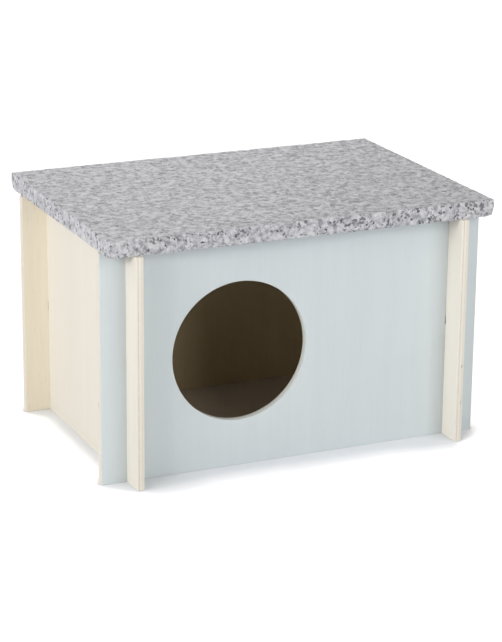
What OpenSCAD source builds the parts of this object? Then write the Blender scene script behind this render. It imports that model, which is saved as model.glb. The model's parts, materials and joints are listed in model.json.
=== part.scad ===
// Slot-together small-pet house with a loose granite roof slab that keeps the inside cool.
// Four plywood panels cross each other near their ends in half-height slots, so that every
// panel reaches past the corner. The house has no floor: it stands over the pet's bedding.
// Frame: +Z is up, the entrance faces -Y, and the origin is on the ground under the middle
// of the walls. All sizes are in millimetres.

/* [Walls] */
// Height of every wall panel
wall_h = 150; // [135:1:200]
// Width of the front and back panels, from end to end
front_w = 262; // [230:1:340]
// Length of the side panels, from end to end
side_l = 184; // [150:1:260]
// Thickness of the plywood
ply_t = 5; // [4:0.5:8]
// How far the front and back panels reach past the side panels
front_reach = 17; // [8:0.5:24]
// How far the side panels reach past the front and back panels
side_reach = 17.5; // [8:0.5:30]
// Bevel sanded on the arrises of the plywood
ply_bevel = 0.4; // [0.1:0.1:0.8]

/* [Cross-halving slots] */
// Play between a slot and the panel that stands in it
slot_play = 0.4; // [0.2:0.1:1.2]
// How far the two slots of a corner run past each other
slot_over = 5.6; // [2:0.1:12]
// How far above half height the slots of the front corners meet
front_slots_up = 3.7; // [-5:0.1:5]
// How far below half height the slots of the back corners meet
back_slots_down = 2.1; // [-5:0.1:5]

/* [Entrance] */
// Diameter of the round entrance
door_d = 91.5; // [60:0.5:100]
// Height of the lowest point of the entrance
sill_h = 30.5; // [15:0.5:40]
// Distance of the entrance's centre from the middle of the front panel, to the left
door_offset = 37.5; // [0:0.5:50]
// Bevel sanded on the rims of the entrance
door_bevel = 0.5; // [0.1:0.1:1]

/* [Roof slab] */
// Thickness of the granite slab
roof_t = 11; // [8:0.5:20]
// Bevel on the arrises of the slab
roof_bevel = 0.6; // [0.4:0.1:2]
// How far the slab is wider than the front panel, on each side
roof_over_x = 0.5; // [-2:0.5:6]
// How far the slab is deeper than the side panels, at each end
roof_over_y = -0.5; // [-2:0.5:6]
// How far the loose slab lies to the right of the middle of the walls
roof_shift_x = 1.7; // [-3:0.1:3]
// How far the loose slab lies behind the middle of the walls
roof_shift_y = 2.5; // [-5:0.1:5]

/* [Hidden] */
$fn = 96;

// Middle planes of the panels, which are also where the slots are cut
side_x = front_w / 2 - front_reach - ply_t / 2;
front_y = side_l / 2 - side_reach - ply_t / 2;

// The two slots of a corner pass each other, so that both panels reach the ground before their
// slots meet, and a small window stays open between the slots' ends
slot_w = ply_t + slot_play;
front_meet_h = wall_h / 2 + front_slots_up;
back_meet_h = wall_h / 2 - back_slots_down;

door_z = sill_h + door_d / 2;

// The slab is cut close to the outline of the walls
roof_w = front_w + 2 * roof_over_x;
roof_d = side_l + 2 * roof_over_y;

// How far a cutting shape runs past the face that it cuts
past = 1;

pale_blue = [0.80, 0.85, 0.86];
cream = [0.94, 0.90, 0.81];
granite_grey = [0.70, 0.70, 0.71];

// A rectangle about the origin with its corners cut off at 45 degrees
module bevelled_rectangle(w, h, bevel) {
    x = w / 2;
    y = h / 2;
    polygon([
        [x - bevel, -y], [x, -y + bevel], [x, y - bevel], [x - bevel, y],
        [bevel - x, y], [-x, y - bevel], [-x, bevel - y], [bevel - x, -y]
    ]);
}

// A slab standing on z = 0 about the Z axis, with a bevel on all twelve arrises
module bevelled_slab(w, d, h, bevel) {
    translate([0, 0, h / 2])
        intersection() {
            linear_extrude(h, center = true) bevelled_rectangle(w, d, bevel);
            rotate([90, 0, 0])
                linear_extrude(d, center = true) bevelled_rectangle(w, h, bevel);
            rotate([90, 0, 90])
                linear_extrude(w, center = true) bevelled_rectangle(d, h, bevel);
        }
}

// The cut for a slot about x, from z = bottom to z = top, through a board in the XZ plane
module slot_cut(x, bottom, top) {
    depth = ply_t + 2 * past;
    translate([x - slot_w / 2, -depth / 2, bottom])
        cube([slot_w, depth, top - bottom]);
}

// A wall board in the XZ plane, less the cuts that follow it
module cut_board(w) {
    difference() {
        bevelled_slab(w, ply_t, wall_h, ply_bevel);
        children();
    }
}

// Front and back boards have their slots open at the top
module cross_board(meet_h) {
    cut_board(front_w)
        for (side = [-1, 1])
            slot_cut(side * side_x, meet_h - slot_over / 2, wall_h + past);
}

// Side boards have their slots open at the bottom and drop over the front and back boards
module side_board() {
    rotate([0, 0, 90])
        cut_board(side_l) {
            slot_cut(-front_y, -past, front_meet_h + slot_over / 2);
            slot_cut(front_y, -past, back_meet_h + slot_over / 2);
        }
}

// The round entrance through a board in the XZ plane, with both rims bevelled
module entrance_cut() {
    translate([-door_offset, 0, door_z])
        rotate([90, 0, 0]) {
            cylinder(d = door_d, h = ply_t + 2 * past, center = true);
            for (face = [0, 180])
                rotate([face, 0, 0])
                    translate([0, 0, ply_t / 2 - door_bevel])
                        cylinder(
                            d1 = door_d,
                            d2 = door_d + 2 * (door_bevel + past),
                            h = door_bevel + past
                        );
        }
}

module roof_slab() {
    color(granite_grey)
        translate([roof_shift_x, roof_shift_y, wall_h])
            bevelled_slab(roof_w, roof_d, roof_t, roof_bevel);
}

module front_panel() {
    color(pale_blue)
        translate([0, -front_y, 0])
            difference() {
                cross_board(front_meet_h);
                entrance_cut();
            }
}

module back_panel() {
    color(pale_blue)
        translate([0, front_y, 0]) cross_board(back_meet_h);
}

module left_side_panel() {
    color(cream)
        translate([-side_x, 0, 0]) side_board();
}

module right_side_panel() {
    color(cream)
        translate([side_x, 0, 0]) side_board();
}

roof_slab();
front_panel();
back_panel();
left_side_panel();
right_side_panel();
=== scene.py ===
"""Looks of a slot-together small-pet house with a loose granite roof slab.

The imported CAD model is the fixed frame. Each board and the slab is modelled again here with
sanded arrises, chipped stone edges and a finish for each kind of face. The new piece rides on
the CAD body and stands for the CAD node. All sizes are in metres, in the CAD frame: +Z is up
and the entrance faces -Y.
"""

import json
import logging
import math
from dataclasses import dataclass, field
from enum import Enum
from typing import Any, Callable, Optional, Union

import bmesh
import bpy
from mathutils import Matrix, Vector


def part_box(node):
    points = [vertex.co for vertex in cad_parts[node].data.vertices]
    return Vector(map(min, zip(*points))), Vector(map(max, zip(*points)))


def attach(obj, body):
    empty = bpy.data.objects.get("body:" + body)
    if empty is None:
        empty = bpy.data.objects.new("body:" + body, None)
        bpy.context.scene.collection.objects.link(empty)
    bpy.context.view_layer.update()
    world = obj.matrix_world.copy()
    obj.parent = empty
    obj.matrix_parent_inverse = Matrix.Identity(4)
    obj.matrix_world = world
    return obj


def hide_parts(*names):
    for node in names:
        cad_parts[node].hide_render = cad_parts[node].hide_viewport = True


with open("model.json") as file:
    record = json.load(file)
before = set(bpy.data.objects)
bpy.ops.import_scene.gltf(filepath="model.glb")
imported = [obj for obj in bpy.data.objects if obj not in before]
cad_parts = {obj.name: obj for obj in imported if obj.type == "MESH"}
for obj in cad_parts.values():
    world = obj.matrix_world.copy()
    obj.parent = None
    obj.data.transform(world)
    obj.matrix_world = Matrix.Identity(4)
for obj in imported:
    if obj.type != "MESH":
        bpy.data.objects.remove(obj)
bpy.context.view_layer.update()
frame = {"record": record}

log = logging.getLogger("pet_house")

PHOTO_SIZE = (502, 642)
SENSOR = 36.0
MM = 0.001
NEAR = 0.01 * MM

Point = tuple[float, float, float]
Colour = tuple[float, float, float]
Input = Union["Value", float, int, tuple, None]


class Axis(Enum):
    """The direction through a board's thickness."""

    X = 0
    Y = 1


class Mouth(Enum):
    """The edge of a board at which its slots are open."""

    TOP = 1
    BOTTOM = -1


class Element(Enum):
    """What a selection in edit mode is made of."""

    VERTS = "VERT"
    EDGES = "EDGE"
    FACES = "FACE"


class Cut(Enum):
    """How a stone face was left by the mason."""

    HONED = 0
    SAWN = 1
    # The two end faces: the sawn stone drawn paler and with less contrast.
    SAWN_END = 2


def srgb(red: int, green: int, blue: int) -> Colour:
    """Turns a display colour into the linear colour that shaders use.

    Args:
        red: Red from 0 to 255.
        green: Green from 0 to 255.
        blue: Blue from 0 to 255.

    Returns:
        The linear red, green and blue, each from 0 to 1.
    """
    shares = (channel / 255 for channel in (red, green, blue))
    return tuple(s / 12.92 if s <= 0.04045 else ((s + 0.055) / 1.055) ** 2.4 for s in shares)


class Value:
    """A node's output in a material, for use in Python expressions on numbers."""

    def __init__(self, graph: "Graph", socket: bpy.types.NodeSocket) -> None:
        """Keeps the socket and the graph that it belongs to."""
        self.graph = graph
        self.socket = socket

    def __add__(self, other: Input) -> "Value":
        """Adds a number or another value."""
        return self.graph.math("ADD", self, other)

    __radd__ = __add__

    def __sub__(self, other: Input) -> "Value":
        """Takes a number or another value away."""
        return self.graph.math("SUBTRACT", self, other)

    def __rsub__(self, other: Input) -> "Value":
        """Takes this value away from a number."""
        return self.graph.math("SUBTRACT", other, self)

    def __mul__(self, other: Input) -> "Value":
        """Multiplies by a number or another value."""
        return self.graph.math("MULTIPLY", self, other)

    __rmul__ = __mul__

    def __truediv__(self, other: Input) -> "Value":
        """Divides by a number or another value."""
        return self.graph.math("DIVIDE", self, other)

    def __gt__(self, other: Input) -> "Value":
        """Is 1 where this value is the greater, and 0 elsewhere."""
        return self.graph.math("GREATER_THAN", self, other)

    def __lt__(self, other: Input) -> "Value":
        """Is 1 where this value is the smaller, and 0 elsewhere."""
        return self.graph.math("LESS_THAN", self, other)

    def __abs__(self) -> "Value":
        """Drops the sign."""
        return self.graph.math("ABSOLUTE", self)

    def least(self, other: Input) -> "Value":
        """Gives the smaller of two values."""
        return self.graph.math("MINIMUM", self, other)

    def most(self, other: Input) -> "Value":
        """Gives the greater of two values."""
        return self.graph.math("MAXIMUM", self, other)

    def step(self, low: float, high: float) -> "Value":
        """Rises smoothly from 0 at low to 1 at high, or falls if low is the greater.

        Args:
            low: Where the result is 0.
            high: Where the result is 1.

        Returns:
            The result, from 0 to 1.
        """
        start, end = (0.0, 1.0) if low < high else (1.0, 0.0)
        return self.graph.node(
            "ShaderNodeMapRange",
            {"interpolation_type": "SMOOTHSTEP"},
            {
                "Value": self,
                "From Min": min(low, high),
                "From Max": max(low, high),
                "To Min": start,
                "To Max": end,
            },
        )


class Graph:
    """The node tree of one material or of the world."""

    def __init__(self, tree: bpy.types.NodeTree) -> None:
        """Keeps the tree that nodes are added to."""
        self.tree = tree

    def node(
        self,
        kind: str,
        settings: Optional[dict[str, Any]] = None,
        sockets: Optional[dict[Union[str, int], Any]] = None,
        output: Union[str, int] = 0,
    ) -> Value:
        """Adds a node, sets it up and links it.

        Args:
            kind: The node's type, such as ShaderNodeTexNoise.
            settings: The node's own settings. A ramp's stops are given as stops.
            sockets: Values, colours or links for its inputs, by name, identifier or number.
            output: The output to return, by name, identifier or number.

        Returns:
            The chosen output.
        """
        made = self.tree.nodes.new(kind)
        for name, setting in (settings or {}).items():
            if name == "stops":
                self._set_stops(made.color_ramp, setting)
            else:
                setattr(made, name, setting)
        for name, value in (sockets or {}).items():
            self.feed(self._socket(made.inputs, name), value)
        return Value(self, self._socket(made.outputs, output))

    def feed(self, socket: bpy.types.NodeSocket, value: Any) -> None:
        """Links a value to an input, or sets the input.

        Args:
            socket: The input.
            value: The value, number, vector or colour that it takes.
        """
        if isinstance(value, Value):
            self.tree.links.new(value.socket, socket)
        elif socket.type == "RGBA" and len(value) == 3:
            socket.default_value = (*value, 1.0)
        else:
            socket.default_value = value

    @staticmethod
    def _socket(sockets: Any, name: Union[str, int]) -> bpy.types.NodeSocket:
        """Finds a socket of a node.

        Args:
            sockets: The node's inputs or outputs.
            name: The socket's number, identifier or name.

        Returns:
            The socket.
        """
        if isinstance(name, int):
            return sockets[name]
        return next((s for s in sockets if s.identifier == name), None) or sockets[name]

    @staticmethod
    def _set_stops(ramp: bpy.types.ColorRamp, stops: list[tuple[float, Colour]]) -> None:
        """Gives a ramp its stops.

        Args:
            ramp: The ramp of a node.
            stops: The place of each stop, from 0 to 1, and its colour.
        """
        while len(ramp.elements) < len(stops):
            ramp.elements.new(1.0)
        for element, (place, colour) in zip(ramp.elements, stops):
            element.position = place
            element.color = (*colour, 1.0)

    def math(self, operation: str, *terms: Input) -> Value:
        """Adds a Math node for one operation on numbers."""
        sockets = dict(enumerate(terms))
        return self.node("ShaderNodeMath", {"operation": operation}, sockets)

    def vector(self, operation: str, *terms: Input, **named: Input) -> Value:
        """Adds a Vector Math node for one operation on vectors."""
        sockets = {**dict(enumerate(terms)), **named}
        return self.node("ShaderNodeVectorMath", {"operation": operation}, sockets)

    def blend(self, factor: Input, first: Any, second: Any, way: str = "MIX") -> Value:
        """Mixes two colours.

        Args:
            factor: The share of the second colour, from 0 to 1.
            first: The first colour.
            second: The second colour.
            way: How the node mixes them.

        Returns:
            The mixed colour.
        """
        return self.node(
            "ShaderNodeMix",
            {"data_type": "RGBA", "blend_type": way, "clamp_factor": True},
            {"Factor_Float": factor, "A_Color": first, "B_Color": second},
            "Result_Color",
        )

    def place(self) -> Value:
        """Gives the point on the surface, in the CAD frame."""
        return self.node("ShaderNodeTexCoord", output="Object")

    def parts(self, vector: Value) -> tuple[Value, Value, Value]:
        """Splits a vector into its X, Y and Z."""
        split = self.node("ShaderNodeSeparateXYZ", None, {"Vector": vector}).socket.node
        return tuple(Value(self, socket) for socket in split.outputs)

    def stretched(self, vector: Value, scale: Point) -> Value:
        """Scales a place along the axes, so that a pattern on it is drawn out."""
        return self.node("ShaderNodeMapping", None, {"Vector": vector, "Scale": scale})

    def noise(self, vector: Value, size: float, detail: float = 2.0, rough: float = 0.5) -> Value:
        """Gives soft noise.

        Args:
            vector: The place on the surface.
            size: The size of its features, about.
            detail: How many finer layers it has.
            rough: How strong the finer layers are.

        Returns:
            The noise, from 0 to 1.
        """
        return self.node(
            "ShaderNodeTexNoise",
            {"noise_dimensions": "3D"},
            {"Vector": vector, "Scale": 1 / size, "Detail": detail, "Roughness": rough},
        )

    def shaken(self, vector: Value, size: float, reach: float) -> Value:
        """Moves a place about by noise, so that a pattern on it loses its straight lines.

        Args:
            vector: The place on the surface.
            size: The size of the noise's features, about.
            reach: How far the noise moves the place.

        Returns:
            The moved place.
        """
        sway = self.node(
            "ShaderNodeTexNoise",
            {"noise_dimensions": "3D"},
            {"Vector": vector, "Scale": 1 / size, "Detail": 2.0},
            "Color",
        )
        centred = self.vector("SUBTRACT", sway, (0.5, 0.5, 0.5))
        return self.vector("ADD", vector, self.vector("SCALE", centred, Scale=reach))

    def crystals(self, vector: Value, size: float) -> tuple[Value, Value, Value]:
        """Makes a pattern of packed grains.

        Args:
            vector: The place on the surface.
            size: The size of a grain, about.

        Returns:
            Three random numbers from 0 to 1 for each grain.
        """
        cells = self.node(
            "ShaderNodeTexVoronoi",
            {"voronoi_dimensions": "3D", "feature": "F1"},
            {"Vector": vector, "Scale": 1 / size, "Randomness": 1.0},
            "Color",
        )
        split = self.node("ShaderNodeSeparateColor", None, {"Color": cells}).socket.node
        return tuple(Value(self, socket) for socket in split.outputs)

    def bump(self, height: Value, depth: float) -> Value:
        """Turns a height from 0 to 1 into a normal, for relief of the given depth."""
        return self.node("ShaderNodeBump", None, {"Height": height, "Distance": depth})


@dataclass(frozen=True)
class Finish:
    """A surface finish, made into one material."""

    name: str

    def material(self) -> bpy.types.Material:
        """Makes the finish's material, or finds the one made before.

        Returns:
            The material, named as the finish is.
        """
        found = bpy.data.materials.get(self.name)
        if found is not None:
            return found
        made = bpy.data.materials.new(self.name)
        made.use_nodes = True
        graph = Graph(made.node_tree)
        shader = made.node_tree.nodes["Principled BSDF"]
        for socket, value in self.sockets(graph).items():
            graph.feed(shader.inputs[socket], value)
        return made

    def sockets(self, graph: Graph) -> dict[str, Any]:
        """Works out the shader's inputs.

        Args:
            graph: The node tree of the finish's material.

        Returns:
            The value of each input, by the input's name.
        """
        raise NotImplementedError


@dataclass(frozen=True)
class Granite(Finish):
    """Light grey granite: packed quartz and feldspar with flecks of black mica.

    A point's tone is made of its crystal's, its grit's and its cloud's, in the shares given.
    """

    grain: float = 1.0
    contrast: float = 1.0
    shade: float = 1.0
    fleck_depth: float = 1.0
    rough: float = 0.6
    rough_spread: float = 0.12
    pits: float = 0.09 * MM
    pit_size: float = 0.5 * MM
    crystal: float = 2.2 * MM
    crystal_share: float = 0.35
    crystal_warp: float = 1.6 * MM
    grit: float = 1.0 * MM
    grit_share: float = 0.2
    cloud: float = 3.2 * MM
    cloud_share: float = 0.45
    mean_tone: float = 0.52
    fleck: float = 1.35 * MM
    fleck_range: tuple[float, float] = (0.93, 0.99)
    cluster: float = 7.0 * MM
    cluster_gain: float = 0.16
    mica_colour: Colour = srgb(74, 74, 79)
    dark_quartz: Colour = srgb(146, 145, 149)
    quartz: Colour = srgb(186, 185, 189)
    feldspar: Colour = srgb(202, 201, 204)
    white_feldspar: Colour = srgb(218, 217, 219)

    def sockets(self, graph: Graph) -> dict[str, Any]:
        """Works out the shader's inputs.

        Args:
            graph: The node tree of the finish's material.

        Returns:
            The value of each input, by the input's name.
        """
        place = graph.place()
        warped = graph.shaken(place, self.crystal_warp, self.crystal_warp)
        tone, _, _ = graph.crystals(warped, self.crystal * self.grain)
        fine_tone, _, _ = graph.crystals(warped, self.grit)
        chance, softness, _ = graph.crystals(warped, self.fleck * self.grain)
        cloud = graph.noise(place, self.cloud * self.grain, 3.0, 0.6).step(0.25, 0.75)
        mixed = self.crystal_share * tone + self.grit_share * fine_tone
        mixed += self.cloud_share * cloud
        stone = graph.node(
            "ShaderNodeValToRGB",
            {
                "stops": [
                    (0.18, self.dark_quartz),
                    (0.42, self.quartz),
                    (0.62, self.feldspar),
                    (0.90, self.white_feldspar),
                ]
            },
            {"Fac": self.contrast * (mixed - self.mean_tone) + self.mean_tone},
        )
        crowd = graph.noise(place, self.cluster, 1.0).step(0.40, 0.62)
        flecks = (chance + self.cluster_gain * crowd).step(*self.fleck_range)
        dark = self.fleck_depth * flecks * (0.6 + 0.4 * softness)
        colour = graph.blend(dark, stone, self.mica_colour)
        colour = graph.blend(1.0, colour, (self.shade,) * 3, "MULTIPLY")
        relief = graph.noise(place, self.pit_size, 2.0) - 0.6 * flecks
        return {
            "Base Color": colour,
            "Roughness": self.rough + self.rough_spread * fine_tone,
            "Normal": graph.bump(relief, self.pits),
        }


@dataclass(frozen=True)
class WoodFigure:
    """The figure of a rotary-cut veneer whose grain runs along Z."""

    fibre: float = 1.4 * MM
    fibre_draw: float = 0.03
    broad: float = 9.0 * MM
    broad_draw: float = 0.06
    sway: float = 60 * MM
    sway_reach: float = 6 * MM
    pore: float = 0.55 * MM
    pore_draw: float = 0.10
    pore_patch: float = 14 * MM
    pore_range: tuple[float, float] = (0.86, 0.94)

    def fibres(self, graph: Graph, place: Value) -> Value:
        """Gives fine streaks along the grain, from 0 to 1."""
        drawn = graph.stretched(place, (1.0, 1.0, self.fibre_draw))
        return graph.noise(drawn, self.fibre, 3.0, 0.6)

    def bands(self, graph: Graph, place: Value) -> Value:
        """Gives the broad soft bands of the growth rings, from 0 to 1."""
        swayed = graph.shaken(place, self.sway, self.sway_reach)
        return graph.noise(graph.stretched(swayed, (1.0, 1.0, self.broad_draw)), self.broad)

    def pores(self, graph: Graph, place: Value) -> Value:
        """Makes sparse short pores along the grain.

        Args:
            graph: The node tree of a material.
            place: The point on the surface.

        Returns:
            A value of 1 in a pore and 0 elsewhere.
        """
        drawn = graph.stretched(place, (1.0, 1.0, self.pore_draw))
        fine = graph.noise(drawn, self.pore, 0.0)
        sparse = graph.noise(place, self.pore_patch, 1.0)
        return (fine + 0.25 * sparse).step(*self.pore_range)


@dataclass(frozen=True)
class Paint(Finish):
    """Thin matt paint on a plywood face, rubbed through along the edges of the board."""

    half_width: float = 0.0
    height: float = 0.0
    entrance: Optional["Entrance"] = None
    wear: float = 0.1 * MM
    wear_blur: float = 0.1 * MM
    rub: float = 0.7 * MM
    rub_size: float = 3 * MM
    brush_marks: float = 0.018 * MM
    figure: WoodFigure = field(default_factory=WoodFigure)
    coat: Colour = srgb(214, 221, 222)
    thin_coat: Colour = srgb(211, 218, 219)
    pore_colour: Colour = srgb(183, 189, 187)
    wood: Colour = srgb(234, 228, 213)

    def sockets(self, graph: Graph) -> dict[str, Any]:
        """Works out the shader's inputs.

        Args:
            graph: The node tree of the finish's material.

        Returns:
            The value of each input, by the input's name.
        """
        place = graph.place()
        fibres = self.figure.fibres(graph, place)
        bands = self.figure.bands(graph, place)
        pores = self.figure.pores(graph, place)
        thin = 0.4 * fibres.step(0.35, 0.75) + 0.6 * bands.step(0.35, 0.7)
        painted = graph.blend(thin, self.coat, self.thin_coat)
        painted = graph.blend(0.1 * pores, painted, self.pore_colour)
        rubbing = graph.noise(place, self.rub_size, 3.0) - 0.5
        rubbed = self._to_edge(graph, place) + self.rub * rubbing
        bare = rubbed.step(self.wear + self.wear_blur, self.wear - self.wear_blur)
        relief = 0.6 * fibres - 0.4 * pores
        return {
            "Specular IOR Level": 0.3,
            "Base Color": graph.blend(bare, painted, self.wood),
            "Roughness": 0.52 + 0.12 * fibres,
            "Normal": graph.bump(relief, self.brush_marks),
        }

    def _to_edge(self, graph: Graph, place: Value) -> Value:
        """Measures how far a point is from the edges of the painted face.

        Args:
            graph: The node tree of the paint's material.
            place: The point on the face.

        Returns:
            The distance to the nearest edge.
        """
        x, _, z = graph.parts(place)
        distance = (self.half_width - abs(x)).least(z.least(self.height - z))
        if self.entrance is None:
            return distance
        across, up = x - self.entrance.x, z - self.entrance.z
        from_middle = graph.math("SQRT", across * across + up * up)
        return distance.least(from_middle - self.entrance.radius)


@dataclass(frozen=True)
class BareVeneer(Finish):
    """The unpainted face of the plywood, with painted shade that makes it darker and browner
    inside the house, between the side boards.
    """

    figure: WoodFigure = field(default_factory=WoodFigure)
    early: Colour = srgb(238, 232, 220)
    late: Colour = srgb(235, 228, 215)
    painted_shade_tint: Colour = (1.0, 1.0, 1.0)
    painted_shade_half: float = 0.0
    saw_marks: float = 0.03 * MM
    pore_colour: Colour = srgb(223, 211, 190)

    def sockets(self, graph: Graph) -> dict[str, Any]:
        """Works out the shader's inputs.

        Args:
            graph: The node tree of the finish's material.

        Returns:
            The value of each input, by the input's name.
        """
        place = graph.place()
        fibres = self.figure.fibres(graph, place)
        bands = self.figure.bands(graph, place)
        pores = self.figure.pores(graph, place)
        ring = 0.45 * fibres.step(0.3, 0.8) + 0.55 * bands.step(0.3, 0.75)
        wood = graph.blend(ring, self.early, self.late)
        # Painted shade: between the side boards, inside the house, the wood is multiplied by a
        # darker, browner tint.
        if self.painted_shade_half > 0:
            in_painted_shade = abs(graph.parts(place)[0]) < self.painted_shade_half
            wood = graph.blend(in_painted_shade, wood, self.painted_shade_tint, "MULTIPLY")
        return {
            "Specular IOR Level": 0.3,
            "Base Color": graph.blend(0.25 * pores, wood, self.pore_colour),
            "Roughness": 0.58 + 0.12 * fibres,
            "Normal": graph.bump(fibres - 0.4 * pores, self.saw_marks),
        }


@dataclass(frozen=True)
class PlyEdge(Finish):
    """The edge of a board: a core between two veneers, with soft glue lines.

    Where paint_to is above 0, paint has run over that share of the edge from the outer face, in a
    colour paler and bluer than the coat: real overspray with painted light on it.
    """

    axis: Axis = Axis.Y
    middle: float = 0.0
    thickness: float = 5 * MM
    glue_at: float = 0.22
    glue_break: float = 6 * MM
    wave: float = 0.05
    wave_size: float = 12 * MM
    end_grain_size: float = 0.7 * MM
    gap_size: float = 3.0 * MM
    saw_marks: float = 0.05 * MM
    paint_to: float = 0.0
    paint_fray: float = 0.2
    fray_size: float = 4 * MM
    figure: WoodFigure = field(default_factory=WoodFigure)
    core: Colour = srgb(241, 234, 222)
    core_dark: Colour = srgb(236, 227, 210)
    veneer: Colour = srgb(238, 231, 218)
    glue: Colour = srgb(202, 185, 164)
    void: Colour = srgb(160, 146, 128)
    overspray_painted_light: Colour = srgb(236, 244, 242)

    def sockets(self, graph: Graph) -> dict[str, Any]:
        """Works out the shader's inputs.

        Args:
            graph: The node tree of the finish's material.

        Returns:
            The value of each input, by the input's name.
        """
        place = graph.place()
        through = (graph.parts(place)[self.axis.value] - self.middle) / self.thickness
        wavy = through + self.wave * (graph.noise(place, self.wave_size) - 0.5)
        from_middle = abs(wavy)
        in_core = from_middle.step(self.glue_at + 0.01, self.glue_at - 0.01)
        fibres = self.figure.fibres(graph, place)
        end_grain = graph.noise(place, self.end_grain_size, 3.0, 0.65)
        core = graph.blend(end_grain.step(0.42, 0.78), self.core, self.core_dark)
        veneer = graph.blend(0.5 * fibres.step(0.4, 0.8), self.veneer, self.core_dark)
        wood = graph.blend(in_core, veneer, core)
        line = abs(from_middle - self.glue_at).step(0.10, 0.02)
        broken = graph.noise(place, self.glue_break).step(0.30, 0.55)
        near_side = 0.45 + 0.55 * (through < 0)
        colour = graph.blend(near_side * line * (0.3 + 0.3 * broken), wood, self.glue)
        gaps = graph.noise(graph.stretched(place, (1.0, 1.0, 0.4)), self.gap_size, 1.0)
        colour = graph.blend(0.8 * line * gaps.step(0.70, 0.76), colour, self.void)
        # Overspray from the outer face, drawn paler and bluer than the coat as painted light on a
        # rim that sits in shade.
        if self.paint_to > 0:
            limit = self.paint_to - 0.5
            fray = self.paint_fray * (graph.noise(place, self.fray_size, 3.0) - 0.5)
            painted = (through + fray).step(limit + 0.04, limit - 0.04)
            colour = graph.blend(0.9 * painted, colour, self.overspray_painted_light)
        relief = end_grain * in_core + 0.5 * fibres - 0.8 * line
        return {
            "Specular IOR Level": 0.3,
            "Base Color": colour,
            "Roughness": 0.68 + 0.1 * end_grain,
            "Normal": graph.bump(relief, self.saw_marks),
        }


@dataclass(frozen=True)
class Entrance:
    """The round hole that the pet goes through, in the plane of the front board."""

    x: float
    z: float
    radius: float = 45.75 * MM
    rim_margin: float = 1 * MM
    frame_margin: float = 7 * MM
    segments_a_side: int = 32

    def rims(self, at: Vector) -> bool:
        """Says whether a point lies on the entrance's rim."""
        return math.hypot(at.x - self.x, at.z - self.z) < self.radius + self.rim_margin


def start_editing(piece: bpy.types.Object, element: Element = Element.VERTS) -> None:
    """Makes a piece the only selected object and enters edit mode on it.

    Args:
        piece: The object to edit.
        element: What selections in edit mode are made of.
    """
    bpy.ops.object.select_all(action="DESELECT")
    piece.select_set(True)
    bpy.context.view_layer.objects.active = piece
    bpy.ops.object.mode_set(mode="EDIT")
    bpy.ops.mesh.select_mode(type=element.value)


def stop_editing() -> None:
    """Goes back to object mode."""
    bpy.ops.object.mode_set(mode="OBJECT")


def select_where(
    piece: bpy.types.Object, element: Element, test: Callable[[Any, Vector], bool]
) -> None:
    """Selects the parts of a mesh in edit mode that pass a test, and nothing else.

    Args:
        piece: The object in edit mode.
        element: Whether vertices, edges or faces are tested.
        test: Takes the element and its middle, and says whether it is selected.
    """
    bpy.ops.mesh.select_mode(type=element.value)
    bpy.ops.mesh.select_all(action="DESELECT")
    mesh = bmesh.from_edit_mesh(piece.data)
    for item in {"VERT": mesh.verts, "EDGE": mesh.edges, "FACE": mesh.faces}[element.value]:
        corners = [item] if element is Element.VERTS else list(item.verts)
        middle = sum((corner.co for corner in corners), Vector()) / len(corners)
        if test(item, middle):
            item.select_set(True)
    mesh.select_flush_mode()
    bmesh.update_edit_mesh(piece.data)


def bisect(co: Vector, normal: Point) -> None:
    """Cuts everything in edit mode along a plane and keeps both sides."""
    bpy.ops.mesh.select_all(action="SELECT")
    bpy.ops.mesh.bisect(plane_co=co, plane_no=normal)


def apply_modifier(piece: bpy.types.Object, kind: str, **settings: Any) -> None:
    """Adds a modifier to a piece, sets it up and applies it.

    Args:
        piece: The active object.
        kind: The modifier's type.
        **settings: The modifier's own settings.
    """
    bpy.ops.object.modifier_add(type=kind)
    modifier = piece.modifiers[-1]
    for name, setting in settings.items():
        setattr(modifier, name, setting)
    bpy.ops.object.modifier_apply(modifier=modifier.name)


def bake_transform(piece: bpy.types.Object) -> None:
    """Puts a piece's place, turn and size into its mesh.

    Args:
        piece: The object, which becomes the only selected one.
    """
    bpy.ops.object.select_all(action="DESELECT")
    piece.select_set(True)
    bpy.context.view_layer.objects.active = piece
    bpy.ops.object.transform_apply(location=True, rotation=True, scale=True)


def put_on_body(piece: bpy.types.Object, node: str, slot: str) -> None:
    """Lets a piece stand for a CAD node and ride on its body.

    Args:
        piece: The finished piece.
        node: The CAD node that it replaces.
        slot: The material slot of the node in the record. It is not used.
    """
    body = next(name for name, nodes in bodies().items() if node in nodes)
    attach(piece, body)
    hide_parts(node)


def bodies() -> dict[str, list[str]]:
    """Gives the CAD nodes of each body."""
    return frame["record"]["behaviour"]["bodies"]


@dataclass(frozen=True)
class Opening:
    """A rectangle cut out of a board's outline, between two places along it and two heights."""

    along: tuple[float, float]
    heights: tuple[float, float]
    slack: float = NEAR

    def holds(self, at: Vector) -> bool:
        """Says whether a point lies in the opening or on its walls."""
        along = min(self.along) - self.slack < at.x < max(self.along) + self.slack
        return along and min(self.heights) - self.slack < at.z < max(self.heights) + self.slack


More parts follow.
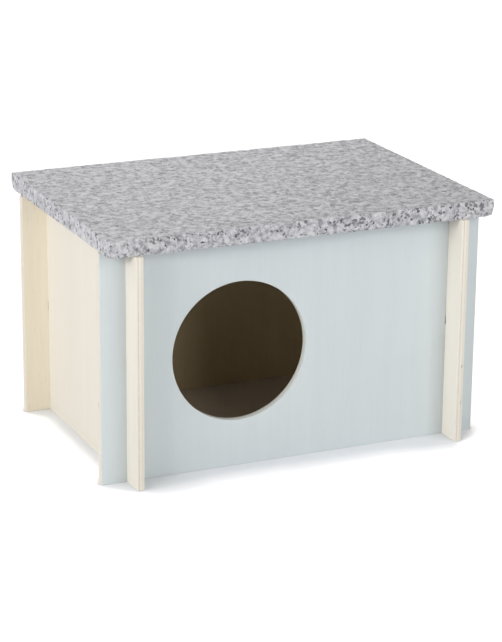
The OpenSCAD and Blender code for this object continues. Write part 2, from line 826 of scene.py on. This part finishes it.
@dataclass
class WallBoard:
    """One plywood wall with its two cross-halving slots, and the entrance if it has one."""

    name: str
    node: str
    crossings: tuple[tuple[float, float], tuple[float, float]]
    mouth: Mouth
    turn: float
    outer: Finish
    inner: Finish
    record_slot: str
    outer_play: float
    entrance: Optional[Entrance] = None
    inner_play: float = 0.1 * MM
    slot_over: float = 5.6 * MM
    relief: float = 0.3 * MM
    ease: float = 0.4 * MM
    slot_ease: float = 0.05 * MM
    arris_angle: float = math.radians(50)
    smooth_angle: float = math.radians(35)
    rim_paint: float = 0.55
    # Painted light: the entrance rim's wood is drawn paler than the other edges, as if lit.
    rim_painted_light: Colour = srgb(252, 249, 242)

    def __post_init__(self) -> None:
        """Reads the board's size and place from the CAD node."""
        low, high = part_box(self.node)
        self.middle = (low + high) / 2
        size = high - low
        self.axis = Axis.Y if size.y < size.x else Axis.X
        self.thickness = size[self.axis.value]
        self.width = max(size.x, size.y)
        self.height = size.z
        self.openings = [part for crossing in self.crossings for part in self._slot(*crossing)]

    def build(self) -> bpy.types.Object:
        """Models the board in the XZ plane and sets it in its place.

        Returns:
            The finished board, with its place in its mesh.
        """
        board = self._sheet()
        self._cut_slots(board)
        if self.entrance is not None:
            self._cut_entrance(board, self.entrance)
        stop_editing()
        apply_modifier(board, "SOLIDIFY", thickness=self.thickness, offset=0.0)
        self._ease_arrises(board)
        bpy.ops.object.shade_smooth_by_angle(angle=self.smooth_angle)
        board.rotation_euler = (0, 0, self.turn)
        board.location = (self.middle.x, self.middle.y, 0)
        bake_transform(board)
        return board

    def dress(self, board: bpy.types.Object) -> None:
        """Gives the outer face, the inner face and the edges their finishes.

        Args:
            board: The board that build made.
        """
        through = (self.axis, self.middle[self.axis.value], self.thickness)
        finishes = [self.outer, self.inner, PlyEdge(f"{self.name}_edge", *through)]
        if self.entrance is not None:
            # The entrance rim gets paler wood and paler overspray: painted light on a rim that
            # sits in shade.
            pale = {"core": self.rim_painted_light, "veneer": self.rim_painted_light}
            finishes.append(
                PlyEdge(f"{self.name}_rim", *through, paint_to=self.rim_paint, **pale)
            )
        outward = Matrix.Rotation(self.turn, 3, "Z") @ Vector((0, -1, 0))
        board.data.materials.clear()
        for finish in finishes:
            board.data.materials.append(finish.material())
        for face in board.data.polygons:
            facing = face.normal.dot(outward)
            on_rim = self.entrance is not None and self.entrance.rims(face.center)
            edge = 3 if on_rim else 2
            face.material_index = 0 if facing > 0.5 else 1 if facing < -0.5 else edge
        put_on_body(board, self.node, self.record_slot)

    def _slot(self, x: float, meet: float) -> list[Opening]:
        """Gives one slot and the relief that is cut beside its closed end.

        Args:
            x: Where the other board crosses, along this board.
            meet: The height at which the two boards' slots meet.

        Returns:
            The slot and its relief, as openings in the outline.
        """
        outwards = math.copysign(1.0, x)
        inner_wall = x - outwards * (self.thickness / 2 + self.inner_play)
        outer_wall = x + outwards * (self.thickness / 2 + self.outer_play)
        end = meet - self.mouth.value * self.slot_over / 2
        mouth = self.height if self.mouth is Mouth.TOP else 0.0
        return [
            Opening((inner_wall, outer_wall), (end, mouth)),
            Opening(
                (inner_wall - outwards * self.relief, outer_wall),
                (end, end + self.mouth.value * self.slot_over),
            ),
        ]

    def _sheet(self) -> bpy.types.Object:
        """Adds the board's flat outline, facing -Y, and starts editing it.

        Returns:
            The outline, in edit mode.
        """
        bpy.ops.object.select_all(action="DESELECT")
        bpy.ops.mesh.primitive_plane_add(
            size=1, location=(0, 0, self.height / 2), rotation=(math.pi / 2, 0, 0)
        )
        board = bpy.context.active_object
        board.name = board.data.name = self.name
        board.scale = (self.width, self.height, 1)
        bake_transform(board)
        start_editing(board)
        return board

    def _cut_slots(self, board: bpy.types.Object) -> None:
        """Cuts both slots out of the outline, square at their ends.

        Args:
            board: The outline, in edit mode.
        """
        for opening in self.openings:
            for x in opening.along:
                bisect(Vector((x, 0, 0)), (1, 0, 0))
            for z in opening.heights:
                bisect(Vector((0, 0, z)), (0, 0, 1))
        select_where(board, Element.FACES, lambda _, at: self._in_slot(at))
        bpy.ops.mesh.delete(type="FACE")
        bpy.ops.mesh.select_all(action="SELECT")
        bpy.ops.mesh.dissolve_faces()

    def _in_slot(self, at: Vector) -> bool:
        """Says whether a point lies in a slot or on its walls."""
        return any(opening.holds(at) for opening in self.openings)

    def _cut_entrance(self, board: bpy.types.Object, hole: Entrance) -> None:
        """Frames the entrance with a square and draws the square in to the round rim.

        Args:
            board: The outline, in edit mode.
            hole: The entrance.
        """
        half = hole.radius + hole.frame_margin
        for side in (-half, half):
            bisect(Vector((hole.x + side, 0, 0)), (1, 0, 0))
            bisect(Vector((0, 0, hole.z + side)), (0, 0, 1))

        def on_square(at: Vector) -> bool:
            """Says whether a point lies on the square round the entrance."""
            return abs(max(abs(at.x - hole.x), abs(at.z - hole.z)) - half) < NEAR

        select_where(
            board,
            Element.FACES,
            lambda _, at: abs(at.x - hole.x) < half * 0.9 and abs(at.z - hole.z) < half * 0.9,
        )
        bpy.ops.mesh.delete(type="ONLY_FACE")
        select_where(
            board, Element.EDGES, lambda edge, _: all(on_square(v.co) for v in edge.verts)
        )
        bpy.ops.mesh.subdivide(number_cuts=hole.segments_a_side - 1)
        bpy.ops.mesh.extrude_edges_move(TRANSFORM_OT_translate={"value": (0, 0, 0)})
        bpy.ops.transform.tosphere(value=1.0)
        middle = Vector((hole.x, 0, hole.z))
        rim = next(v for v in bmesh.from_edit_mesh(board.data).verts if v.select)
        shrink = hole.radius / (rim.co - middle).length
        bpy.ops.transform.resize(value=(shrink,) * 3, center_override=middle)
        bpy.ops.mesh.select_all(action="SELECT")
        bpy.ops.mesh.normals_make_consistent(inside=False)

    def _ease_arrises(self, board: bpy.types.Object) -> None:
        """Sands the arrises round, and takes only the burr off those of the slots.

        Args:
            board: The board at its full thickness.
        """
        start_editing(board, Element.EDGES)
        for width, segments, in_slot in ((self.ease, 3, False), (self.slot_ease, 1, True)):
            select_where(
                board,
                Element.EDGES,
                lambda edge, at: edge.calc_face_angle(0.0) > self.arris_angle
                and self._in_slot(at) is in_slot,
            )
            bpy.ops.mesh.bevel(offset=width, segments=segments, profile=0.5)
        stop_editing()


@dataclass
class RoofSlab:
    """The loose granite slab, with honed faces, sawn sides and slightly chipped arrises."""

    name: str = "granite_roof"
    node: str = "roof_slab"
    record_slot: str = "granite"
    pitch: float = 1.3 * MM
    arris: float = 0.5 * MM
    arris_angle: float = math.radians(60)
    smooth_angle: float = math.radians(40)
    chip_depth: float = 0.35 * MM
    chip_reach: float = 2.0 * MM
    chip_size: float = 3.5 * MM
    chip_range: tuple[float, float] = (0.30, 0.52)
    corner_wear: float = 1.6 * MM
    corner_reach: float = 5.0 * MM
    side_rows: int = 6

    def __post_init__(self) -> None:
        """Reads the slab's size and place from the CAD node."""
        self.low, self.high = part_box(self.node)
        self.size = self.high - self.low

    def build(self) -> bpy.types.Object:
        """Models the slab from a grid, drawn down to its thickness.

        Returns:
            The finished slab, with its place in its mesh.
        """
        middle = (self.low + self.high) / 2
        bpy.ops.object.select_all(action="DESELECT")
        bpy.ops.mesh.primitive_grid_add(
            x_subdivisions=round(self.size.x / self.pitch),
            y_subdivisions=round(self.size.y / self.pitch),
            size=1,
            location=(middle.x, middle.y, self.high.z),
        )
        slab = bpy.context.active_object
        slab.name = slab.data.name = self.name
        slab.scale = (self.size.x, self.size.y, 1)
        bake_transform(slab)
        start_editing(slab, Element.FACES)
        bpy.ops.mesh.select_all(action="SELECT")
        bpy.ops.mesh.extrude_region_move(TRANSFORM_OT_translate={"value": (0, 0, -self.size.z)})
        bpy.ops.mesh.select_all(action="SELECT")
        bpy.ops.mesh.normals_make_consistent(inside=False)
        select_where(slab, Element.EDGES, lambda _, at: abs(at.z - middle.z) < NEAR)
        bpy.ops.mesh.subdivide(number_cuts=self.side_rows)
        bpy.ops.mesh.select_all(action="DESELECT")
        bpy.ops.mesh.select_mode(type="EDGE")
        bpy.ops.mesh.edges_select_sharp(sharpness=self.arris_angle)
        bpy.ops.mesh.bevel(offset=self.arris, segments=3, profile=0.6)
        stop_editing()
        self._wear_corners(slab)
        self._chip(slab)
        bpy.ops.object.shade_smooth_by_angle(angle=self.smooth_angle)
        return slab

    def dress(self, slab: bpy.types.Object) -> None:
        """Gives the top and the underside the honed finish, the sides the sawn one and the two
        ends a paler sawn one with less contrast.

        Args:
            slab: The slab that build made.
        """
        finishes = {
            Cut.HONED: Granite(
                "honed_granite",
                grain=1.3,
                contrast=1.30,
                shade=0.91,
                fleck_depth=0.65,
                rough=0.46,
                pits=0.03 * MM,
                cloud=4.0 * MM,
                dark_quartz=srgb(148, 143, 149),
            ),
            Cut.SAWN: Granite("sawn_granite", grain=1.12, contrast=1.35, shade=0.95),
            Cut.SAWN_END: Granite("sawn_granite_ends", grain=1.12, contrast=0.85, shade=1.07),
        }
        slab.data.materials.clear()
        for cut in Cut:
            slab.data.materials.append(finishes[cut].material())
        for face in slab.data.polygons:
            cut = Cut.SAWN_END if abs(face.normal.x) > 0.9 else Cut.SAWN
            face.material_index = (Cut.HONED if abs(face.normal.z) > 0.9 else cut).value
        put_on_body(slab, self.node, self.record_slot)

    def _wear_corners(self, slab: bpy.types.Object) -> None:
        """Rounds the four lower corners, which are knocked when the slab is set down.

        Args:
            slab: The slab with its arrises bevelled.
        """
        group = slab.vertex_groups.new(name="corners")
        for vertex in slab.data.vertices:
            away = Vector(
                (
                    min(vertex.co.x - self.low.x, self.high.x - vertex.co.x),
                    min(vertex.co.y - self.low.y, self.high.y - vertex.co.y),
                    vertex.co.z - self.low.z,
                )
            )
            weight = max(0.0, 1.0 - away.length / self.corner_reach)
            if weight > 0:
                group.add([vertex.index], weight, "REPLACE")
        apply_modifier(
            slab, "DISPLACE", vertex_group=group.name, mid_level=0.0, strength=-self.corner_wear
        )
        slab.vertex_groups.clear()

    def _chip(self, slab: bpy.types.Object) -> None:
        """Wears small chips into the arrises, never outwards.

        Args:
            slab: The slab with its corners worn.
        """
        group = slab.vertex_groups.new(name="arrises")
        for vertex in slab.data.vertices:
            near = sorted(
                min(vertex.co[i] - self.low[i], self.high[i] - vertex.co[i]) for i in range(3)
            )[1]
            weight = max(0.0, 1.0 - near / self.chip_reach)
            if weight > 0:
                group.add([vertex.index], weight, "REPLACE")
        texture = bpy.data.textures.new("chips", type="CLOUDS")
        texture.noise_scale = self.chip_size
        texture.noise_depth = 2
        texture.use_color_ramp = True
        for level, (stop, at) in enumerate(zip(texture.color_ramp.elements, self.chip_range)):
            stop.position = at
            stop.color = (level, level, level, 1.0)
        apply_modifier(
            slab,
            "DISPLACE",
            texture=texture,
            texture_coords="LOCAL",
            vertex_group=group.name,
            mid_level=1.0,
            strength=self.chip_depth,
        )
        slab.vertex_groups.clear()


@dataclass(frozen=True)
class Viewpoint:
    """The camera of the reference picture, fitted to the corners of the house."""

    azimuth: float = math.radians(-24.319)
    elevation: float = math.radians(17.859)
    roll: float = math.radians(0.557)
    distance: float = 1.5239
    target: Point = (0.0035, 0.0, 0.0688)
    focal_pixels: float = 2297.3

    def build(self) -> None:
        """Adds the camera and makes it the scene's own."""
        azimuth, elevation = self.azimuth, self.elevation
        back = Vector(
            (
                math.sin(azimuth) * math.cos(elevation),
                -math.cos(azimuth) * math.cos(elevation),
                math.sin(elevation),
            )
        )
        level = Vector((math.cos(azimuth), math.sin(azimuth), 0))
        upright = back.cross(level)
        right = math.cos(self.roll) * level + math.sin(self.roll) * upright
        up = back.cross(right)
        eye = Vector(self.target) + self.distance * back
        data = bpy.data.cameras.new("camera")
        data.sensor_width = SENSOR
        data.lens = self.focal_pixels * SENSOR / max(PHOTO_SIZE)
        camera = bpy.data.objects.new("camera", data)
        turned = Matrix((right, up, back)).transposed().to_4x4()
        camera.matrix_world = Matrix.Translation(eye) @ turned
        bpy.context.scene.collection.objects.link(camera)
        bpy.context.scene.camera = camera


@dataclass(frozen=True)
class Softbox:
    """A large lamp that points at the house."""

    name: str
    place: Point
    width: float
    power: float
    height: float = 0.5
    target: Point = (0, 0, 0.08)

    def build(self) -> None:
        """Adds the lamp."""
        data = bpy.data.lights.new(self.name, type="AREA")
        data.shape = "RECTANGLE"
        data.size, data.size_y = self.width, self.height
        data.energy = self.power
        lamp = bpy.data.objects.new(self.name, data)
        aim = Vector(self.target) - Vector(self.place)
        lamp.location = self.place
        lamp.rotation_euler = aim.to_track_quat("-Z", "Y").to_euler()
        bpy.context.scene.collection.objects.link(lamp)


@dataclass(frozen=True)
class Sky:
    """Soft light from all round, with a strength of its own from each side."""

    left: float = 1.13
    right: float = 0.45
    back: float = 0.31
    top: float = 0.285

    def strength(self, graph: Graph) -> Value:
        """Gives the light that comes from each direction.

        Args:
            graph: The node tree of the world.

        Returns:
            The strength of the world's light.
        """
        x, y, z = graph.parts(graph.node("ShaderNodeTexCoord", output="Generated"))
        across = x * x * (self.left + (self.right - self.left) * (x > 0))
        behind = self.back * y * y * (y > 0)
        return across + behind + self.top * z * z


@dataclass
class Studio:
    """The white room: a soft sky, softboxes and a floor that keeps the house's shadow, with a
    painted shadow added near its foot.
    """

    sky: Sky = Sky()
    floor_glow: float = 0.60
    foot_glow: float = 0.10
    glow_colour: Colour = (1.0, 0.97, 0.94)
    floor_colour: Colour = (0.78, 0.80, 0.83)
    indoor_painted_shade_colour: Colour = (0.68, 0.60, 0.51)
    floor_half: float = 12.0
    indoor_share: float = 0.98
    front_share: tuple[float, float] = (1.0, 0.93)
    shadow_reach: float = 18 * MM
    front_reach: float = 48 * MM
    foot_range: tuple[float, float] = (0.30, 0.50)
    shadow_range: tuple[float, float] = (0.58, 1.0)
    lamps: tuple[Softbox, ...] = (
        Softbox("key_softbox", (0.63, -1.66, 0.66), 1.3, 15.2, 1.2),
        Softbox("left_softbox", (-1.58, -0.69, 0.80), 1.0, 13.0),
        Softbox("rear_softbox", (0.03, 0.33, 0.50), 0.35, 0.63, 0.25),
    )

    def build(self) -> None:
        """Adds the camera, the sky, the lamps and the floor."""
        scene = bpy.context.scene
        scene.view_settings.view_transform = "Standard"
        Viewpoint().build()
        self._sky(scene)
        for lamp in self.lamps:
            lamp.build()
        self._floor()

    @staticmethod
    def _seen(graph: Graph) -> Value:
        """Tells what is seen from what only gives light.

        Args:
            graph: The node tree of the world or of a material of the room.

        Returns:
            A value of 1 on rays from the camera, a reflection or a clear material, or else 0.
        """
        paths = graph.node("ShaderNodeLightPath").socket.node
        camera, glossy, clear = (
            Value(graph, paths.outputs[name])
            for name in ("Is Camera Ray", "Is Glossy Ray", "Is Transmission Ray")
        )
        return camera.most(glossy).most(clear)

    def _sky(self, scene: bpy.types.Scene) -> None:
        """Lights the scene softly, and shows white to the camera.

        Args:
            scene: The scene that gets the world.
        """
        world = bpy.data.worlds.new("sky")
        world.use_nodes = True
        scene.world = world
        graph = Graph(world.node_tree)
        seen = self._seen(graph)
        strength = seen + (1 - seen) * self.sky.strength(graph)
        graph.feed(world.node_tree.nodes["Background"].inputs["Color"], (1, 1, 1))
        graph.feed(world.node_tree.nodes["Background"].inputs["Strength"], strength)

    def _floor(self) -> None:
        """Adds the pale floor, whitened for the camera except in the house and near its foot,
        where ambient occlusion fades the glow into a painted shadow; inside the house it is
        darker and warmer as painted shade.
        """
        bpy.ops.object.select_all(action="DESELECT")
        bpy.ops.mesh.primitive_plane_add(size=2 * self.floor_half)
        floor = bpy.context.active_object
        floor.name = "studio_floor"
        material = bpy.data.materials.new("studio_floor")
        material.use_nodes = True
        graph = Graph(material.node_tree)
        shader = material.node_tree.nodes["Principled BSDF"]
        x, y, _ = graph.parts(graph.place())
        side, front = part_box("right_side_panel")[1].x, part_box("back_panel")[1].y
        outside = (abs(x) / side).most(abs(y) / front) > self.indoor_share
        in_front = (abs(x) / side).step(*self.front_share) * (y < 0)
        reach = self.shadow_reach + (self.front_reach - self.shadow_reach) * in_front
        # Painted shade: inside the walls the floor is darker and warmer.
        ground = graph.blend(outside, self.indoor_painted_shade_colour, self.floor_colour)
        graph.feed(shader.inputs["Base Color"], ground)
        graph.feed(shader.inputs["Roughness"], 1.0)
        graph.feed(shader.inputs["Specular IOR Level"], 0.0)
        # Camera-only glow, faded by ambient occlusion near the walls: a painted shadow at the
        # house's foot, on top of the real one.
        ao_for_painted_shadow = graph.node(
            "ShaderNodeAmbientOcclusion", {"samples": 16}, {"Distance": reach}, "AO"
        )
        white = self.foot_glow * ao_for_painted_shadow.step(*self.foot_range)
        white += self.floor_glow * ao_for_painted_shadow.step(*self.shadow_range)
        graph.feed(shader.inputs["Emission Color"], self.glow_colour)
        graph.feed(shader.inputs["Emission Strength"], white * outside * self._seen(graph))
        floor.data.materials.append(material)


def wall_boards() -> list[WallBoard]:
    """Gives the four walls, with their slots where the CAD boards cross.

    Returns:
        The front, back, left and right boards.
    """
    front_low, front_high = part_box("front_panel")
    right_low, right_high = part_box("right_side_panel")
    side_x = (right_low.x + right_high.x) / 2
    front_y = abs(front_low.y + front_high.y) / 2
    opening = next(
        box for box in frame["record"]["physics"]["openings"] if box["name"] == "entrance"
    )
    low, high = (Vector(corner) for corner in opening["box_m"])
    entrance = Entrance((low.x + high.x) / 2, (low.z + high.z) / 2)
    half_width, height = front_high.x, front_high.z
    front_paint = Paint("front_paint", half_width, height, entrance)
    back_paint = Paint("back_paint", half_width, height)
    veneer = BareVeneer("bare_veneer")
    # A lighter copy of the bare veneer for the side boards' inner faces: painted light, standing
    # in for more light than they get.
    veneer_painted_lighter = BareVeneer("veneer_painted_lighter", early=srgb(244, 238, 226), late=srgb(241, 234, 221))
    inner = BareVeneer(
        "inner_veneer",
        early=srgb(251, 242, 223),
        late=srgb(246, 234, 211),
        # Painted shade on the faces inside the house.
        painted_shade_tint=(0.70, 0.63, 0.48),
        painted_shade_half=side_x,
    )
    front_meet, back_meet = 78.7 * MM, 72.9 * MM
    in_front = ((-side_x, front_meet), (side_x, front_meet))
    behind = ((-side_x, back_meet), (side_x, back_meet))
    on_left = ((-front_y, back_meet), (front_y, front_meet))
    on_right = ((-front_y, front_meet), (front_y, back_meet))
    quarter = math.pi / 2
    bearing, loose = 0.02 * MM, 0.12 * MM
    return [
        WallBoard(
            "front_board", "front_panel", in_front, Mouth.TOP, 0.0,
            front_paint, inner, "painted_ply", bearing, entrance,
        ),
        WallBoard(
            "back_board", "back_panel", behind, Mouth.TOP, 2 * quarter,
            back_paint, inner, "painted_ply", bearing,
        ),
        WallBoard(
            "left_side_board", "left_side_panel", on_left, Mouth.BOTTOM, -quarter,
            veneer, veneer_painted_lighter, "natural_ply", loose,
        ),
        WallBoard(
            "right_side_board", "right_side_panel", on_right, Mouth.BOTTOM, quarter,
            veneer, veneer_painted_lighter, "natural_ply", loose,
        ),
    ]


def main() -> None:
    """Builds and dresses the house, then sets up the studio round it."""
    logging.basicConfig(level=logging.INFO, format="%(name)s: %(message)s")
    for part in [*wall_boards(), RoofSlab()]:
        piece = part.build()
        part.dress(piece)
        log.info("%s: %d faces", piece.name, len(piece.data.polygons))
    Studio().build()


if __name__ == "__main__":
    main()
